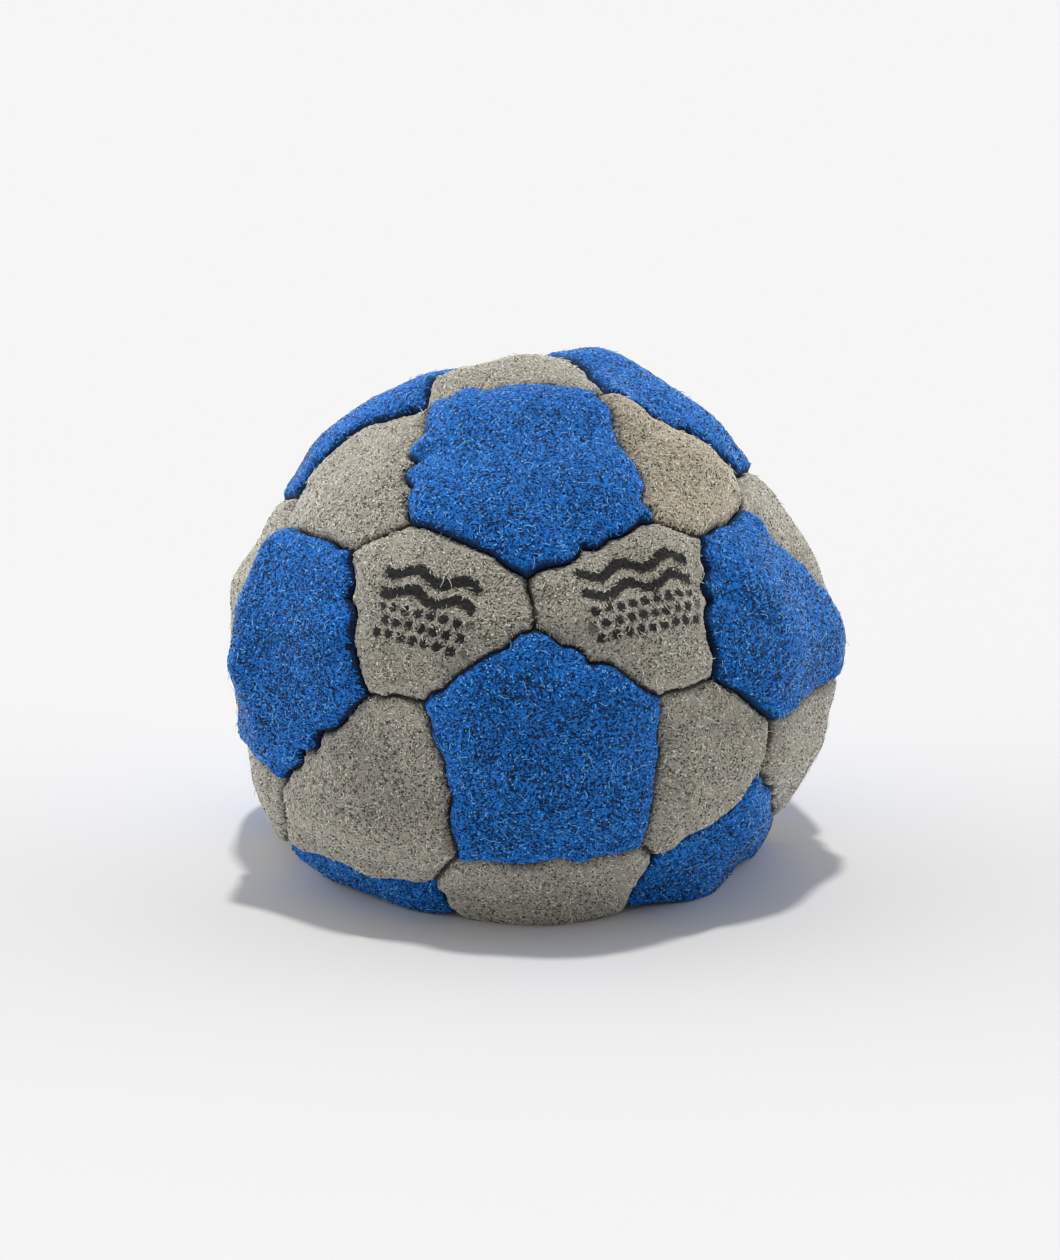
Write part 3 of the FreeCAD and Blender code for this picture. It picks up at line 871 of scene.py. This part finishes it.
def nap_fibre(name, base, deep, pit, glint, ink=None):
    """The fibres of the nap: each its own shade between deep and base, a few pale ones as painted
    highlights, and the pits as painted shade.
    """
    graph = Graph.for_material(name)
    chance = graph.add("ShaderNodeAttribute", attribute_name="shade").outputs["Fac"]
    colour = graph.mix(graph.ramp(chance, 0.0, 0.6), deep, base)
    # Glints and strays take the pale glint colour: painted highlights.
    bright = graph.math("GREATER_THAN", chance, 1 - STRAYS - GLINTS)
    colour = graph.mix(graph.math("MULTIPLY", bright, 0.85), colour, glint)
    # Pits near-black: painted shade.
    colour = graph.mix(graph.ramp(chance, 0.015, 0.005), colour, pit)
    if ink is not None:
        colour = graph.mix(ink(graph, chance), colour, INK)
    graph.fill(graph.shader.inputs["Base Color"], colour)
    graph.shader.inputs["Roughness"].default_value = 0.4
    graph.shader.inputs["Specular IOR Level"].default_value = 0.4
    return graph.owner


INK = srgb(38, 38, 38)
BLUE = srgb(10, 136, 232)
BLUE_DEEP = srgb(4, 98, 188)
# Painted shade: the skin is darker than the fibres, as the shade between them, and the pit colour is the
# shade in hollows. Painted highlight: the glint colour.
BLUE_SHADED_SKIN = srgb(2, 68, 138)
BLUE_PIT = srgb(1, 10, 34)
BLUE_GLINT = srgb(130, 205, 255)
GREY = srgb(196, 192, 178)
GREY_DEEP = srgb(160, 155, 140)
# Painted shade: the grey skin is darker than the fibres, as the shade between them.
GREY_SHADED_SKIN = srgb(140, 136, 122)
WARM_GREY = srgb(206, 196, 173)
WARM_GREY_DEEP = srgb(172, 160, 136)
# Painted shade in the hollows, and painted highlights.
GREY_PIT = srgb(72, 69, 60)
GREY_GLINT = srgb(246, 244, 232)


def box_mask(graph, u, v, left, right, low, high, soft=0.12):
    """1 inside a rectangle of the panel's plane, 0 outside, with a soft rim."""
    inside = graph.ramp(u, left - soft, left + soft)
    for value, start, end in ((u, right + soft, right - soft), (v, low - soft, low + soft),
                              (v, high + soft, high - soft)):
        inside = graph.math("MULTIPLY", inside, graph.ramp(value, start, end))
    return inside


STRIPES = 2
STRIPE_PITCH = 1.75     # between wavy printed stripes
WAVE_RATE = 1.5         # of the waves along a stripe, in radians per millimetre
WAVE_HEIGHT = 0.4
DOT_ROWS = 3
DOT_PITCH = 1.15        # between rows of printed dots
DOT_RADIUS = 0.42


def wavy_stripes(graph, u, v, left, right):
    """1 on a few wavy stripes that lie side by side above v = 0, 0 elsewhere."""
    wave = graph.math("SINE", graph.math("MULTIPLY", u, WAVE_RATE))
    swing = graph.math("MULTIPLY", wave, WAVE_HEIGHT)
    level = graph.math("ADD", v, swing)
    lane = graph.math("FRACT", graph.math("DIVIDE", level, STRIPE_PITCH))
    stripe = graph.ramp(graph.math("ABSOLUTE", graph.math("SUBTRACT", lane, 0.5)), 0.31, 0.25)
    whole = box_mask(graph, u, level, left, right, 0, STRIPES * STRIPE_PITCH)
    return graph.math("MULTIPLY", stripe, whole)


def dot_rows(graph, u, v, left, right):
    """1 on a few rows of round dots below v = 0, 0 elsewhere; every other row is shifted by half."""
    row = graph.math("FLOOR", graph.math("DIVIDE", v, DOT_PITCH))
    shift = graph.math("MULTIPLY", graph.math("MODULO", row, 2.0), 0.5)
    column = graph.math("FLOOR", graph.math("ADD", graph.math("DIVIDE", u, DOT_PITCH), shift))
    centred = graph.math("SUBTRACT", graph.math("ADD", column, 0.5), shift)
    middle_u = graph.math("MULTIPLY", centred, DOT_PITCH)
    middle_v = graph.math("MULTIPLY", graph.math("ADD", row, 0.5), DOT_PITCH)
    away_u = graph.math("SUBTRACT", u, middle_u)
    away_v = graph.math("SUBTRACT", v, middle_v)
    squared_u = graph.math("MULTIPLY", away_u, away_u)
    squared_v = graph.math("MULTIPLY", away_v, away_v)
    squares = graph.math("ADD", squared_u, squared_v)
    dot = graph.ramp(graph.math("SQRT", squares), DOT_RADIUS + 0.05, DOT_RADIUS - 0.05)
    whole = box_mask(graph, middle_u, middle_v, left, right, -DOT_ROWS * DOT_PITCH, 0)
    return graph.math("MULTIPLY", dot, whole)


def printed_motif(turn, left, right, split):
    """Ink for a plain printed band: wavy stripes over rows of dots, turned, and broken up by the nap."""
    def ink(graph, nap):
        plane = graph.add("ShaderNodeAttribute", attribute_name="panel_plane").outputs["Vector"]
        turned = graph.add("ShaderNodeMapping", {"Vector": plane, "Rotation": (0, 0, turn)})
        parts = graph.add("ShaderNodeSeparateXYZ", {0: turned.outputs[0]})
        ragged = graph.math("MULTIPLY_ADD", nap, 0.24, -0.12)
        u = graph.math("ADD", parts.outputs[0], ragged)
        v = graph.math("SUBTRACT", graph.math("ADD", parts.outputs[1], ragged), split)
        stripes = wavy_stripes(graph, u, v, left, right)
        return graph.math("MAXIMUM", stripes, dot_rows(graph, u, v, left, right))
    return ink


def plain(name, colour, roughness, grain=0.0):
    """A simple material with a fine noise in its colour, for threads and sand."""
    graph = Graph.for_material(name)
    speckle = noise(graph, millimetres(graph), 5.0, 2.0)
    dark = [c * (1 - grain) for c in colour[:3]] + [1.0]
    graph.fill(graph.shader.inputs["Base Color"], graph.mix(speckle, dark, colour))
    graph.shader.inputs["Roughness"].default_value = roughness
    return graph.owner


# ---------------------------------------------------------------- stage
FLOOR_SIZE = 6    # metres
FLOOR_COLOUR = (0.77, 0.77, 0.77, 1)
KEY_STRENGTH = 1.65
KEY_COLOUR = (1.0, 0.98, 0.94)
KEY_SOFTNESS = math.radians(4)
KEY_LEAN = math.radians(-5)
ROOM_TINT = (0.98, 0.985, 1.02, 1)
BACKDROP = (0.925, 0.925, 0.925, 1)    # how the room looks above the floor, whatever light it gives
ROOM_LIGHT = 0.44         # the least light from any side
WALL_LIGHT = 1.6          # added by the walls at both sides,
LEFT_LIGHT = 0.3          # by the left,
CAMERA_SIDE_LIGHT = 0.3   # from straight behind the camera,
BACK_LIGHT = 0.48         # from behind the ball,
FRONT_SHADE = -0.38       # and taken from the whole camera side
LENS = 145.2
CAMERA_TARGET = (0.18, -0.54, 20.22)
CAMERA_DISTANCE = 450


def add_floor():
    """A wide pale floor that fills the view."""
    bpy.ops.mesh.primitive_plane_add(size=FLOOR_SIZE)
    floor = bpy.context.object
    floor.name = "floor"
    graph = Graph.for_material("floor_paper")
    graph.shader.inputs["Base Color"].default_value = FLOOR_COLOUR
    graph.shader.inputs["Roughness"].default_value = 1.0
    graph.shader.inputs["Specular IOR Level"].default_value = 0.0
    floor.data.materials.append(graph.owner)


def add_light():
    """A high key light from just behind, in a white room that is bright behind and at the sides."""
    key = bpy.data.lights.new("key", "SUN")
    key.energy = KEY_STRENGTH
    key.color = KEY_COLOUR
    key.angle = KEY_SOFTNESS
    lamp = bpy.data.objects.new("key", key)
    lamp.rotation_euler = (KEY_LEAN, 0, 0)
    bpy.context.scene.collection.objects.link(lamp)

    graph = Graph.for_world("surround")
    towards = graph.add("ShaderNodeTexCoord").outputs["Generated"]
    right, deep, up = graph.add("ShaderNodeSeparateXYZ", {0: towards}).outputs
    both_sides = graph.ramp(graph.math("ABSOLUTE", right), 0.5, 0.9)
    sides = graph.math("MULTIPLY", both_sides, graph.ramp(deep, -0.6, -0.1))
    walls = graph.math("MULTIPLY", sides, graph.ramp(up, 0.8, 0.3))
    strength = graph.math("MULTIPLY_ADD", walls, WALL_LIGHT, ROOM_LIGHT)
    for share, light in ((graph.ramp(right, -0.2, -0.8), LEFT_LIGHT),
                         (graph.ramp(deep, -0.6, -0.95), CAMERA_SIDE_LIGHT),
                         (graph.ramp(deep, -0.1, 0.5), BACK_LIGHT),
                         (graph.ramp(deep, 0.2, -0.4), FRONT_SHADE)):
        strength = graph.math("MULTIPLY_ADD", share, light, strength)
    seen = graph.add("ShaderNodeLightPath").outputs["Is Camera Ray"]
    lighting = graph.math("MULTIPLY", strength, graph.math("SUBTRACT", 1.0, seen))
    background = graph.nodes["Background"]
    graph.fill(background.inputs["Color"], graph.mix(seen, ROOM_TINT, BACKDROP))
    graph.fill(background.inputs["Strength"], graph.math("ADD", seen, lighting))


def add_camera():
    """The photograph's camera: a long lens a little above the ball."""
    data = bpy.data.cameras.new("camera")
    data.lens = LENS
    data.sensor_width = 36
    data.clip_start = 0.01
    data.clip_end = 20
    back = Vector(VIEW_BACK)
    camera = bpy.data.objects.new("camera", data)
    camera.location = Vector(CAMERA_TARGET) * MM + back * CAMERA_DISTANCE * MM
    camera.rotation_mode = "QUATERNION"
    camera.rotation_quaternion = (-back).to_track_quat("-Z", "Y")
    bpy.context.scene.collection.objects.link(camera)
    bpy.context.scene.camera = camera


# ---------------------------------------------------------------- the scene
def grey_fabric(name, nap_turn, base=GREY, deep=GREY_DEEP, ink=None):
    """Grey suede and its fibres, with or without a print."""
    return (suede(name, GREY_SHADED_SKIN, GREY_PIT, base, nap_turn, ink),
            nap_fibre(name + "_nap", base, deep, GREY_PIT, GREY_GLINT, ink))


left_marks = printed_motif(turn=math.radians(8), left=-4.0, right=4.6, split=0.2)
right_marks = printed_motif(turn=math.radians(-6), left=-5.2, right=5.2, split=0.2)
plain_blue = (suede("blue_suede", BLUE_SHADED_SKIN, BLUE_PIT, BLUE, 0.0),
              nap_fibre("blue_suede_nap", BLUE, BLUE_DEEP, BLUE_PIT, BLUE_GLINT))
plain_grey = grey_fabric("grey_suede", 1.2)
printed_left = grey_fabric("grey_suede_print_left", 0.9, ink=left_marks)
printed_right = grey_fabric("grey_suede_print_right", 0.9, ink=right_marks)
warm_grey = grey_fabric("grey_suede_warm", 1.2, WARM_GREY, WARM_GREY_DEEP)
SPECIAL_GREYS = {
    frozenset(("crown_front", "front", "left")): printed_left,
    frozenset(("crown_front", "front", "right")): printed_right,
    frozenset(("crown_front", "right", "top_right")): warm_grey,
}

for name, axis in AXES.items():
    add_panel(pentagon_corners(name), axis, "blue_pentagon_panel", plain_blue, True)
for trio in HEXAGONS:
    axis = unit(sum(AXES[name] for name in trio))
    fabric = SPECIAL_GREYS.get(frozenset(trio), plain_grey)
    add_panel(hexagon_corners(trio), axis, "grey_hexagon_panel", fabric, False)

thread = plain("sewing_thread", srgb(70, 74, 84), 0.8, 0.4)
sand = plain("sand", srgb(196, 176, 138), 0.95, 0.5)
for name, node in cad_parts.items():
    if "thread" in name or name == "sand_filling":
        node.data.materials.clear()
        node.data.materials.append(sand if name == "sand_filling" else thread)

add_floor()
add_light()
add_camera()
bpy.context.scene.view_settings.view_transform = "Standard"
bpy.context.scene.cycles.filter_width = 1.1
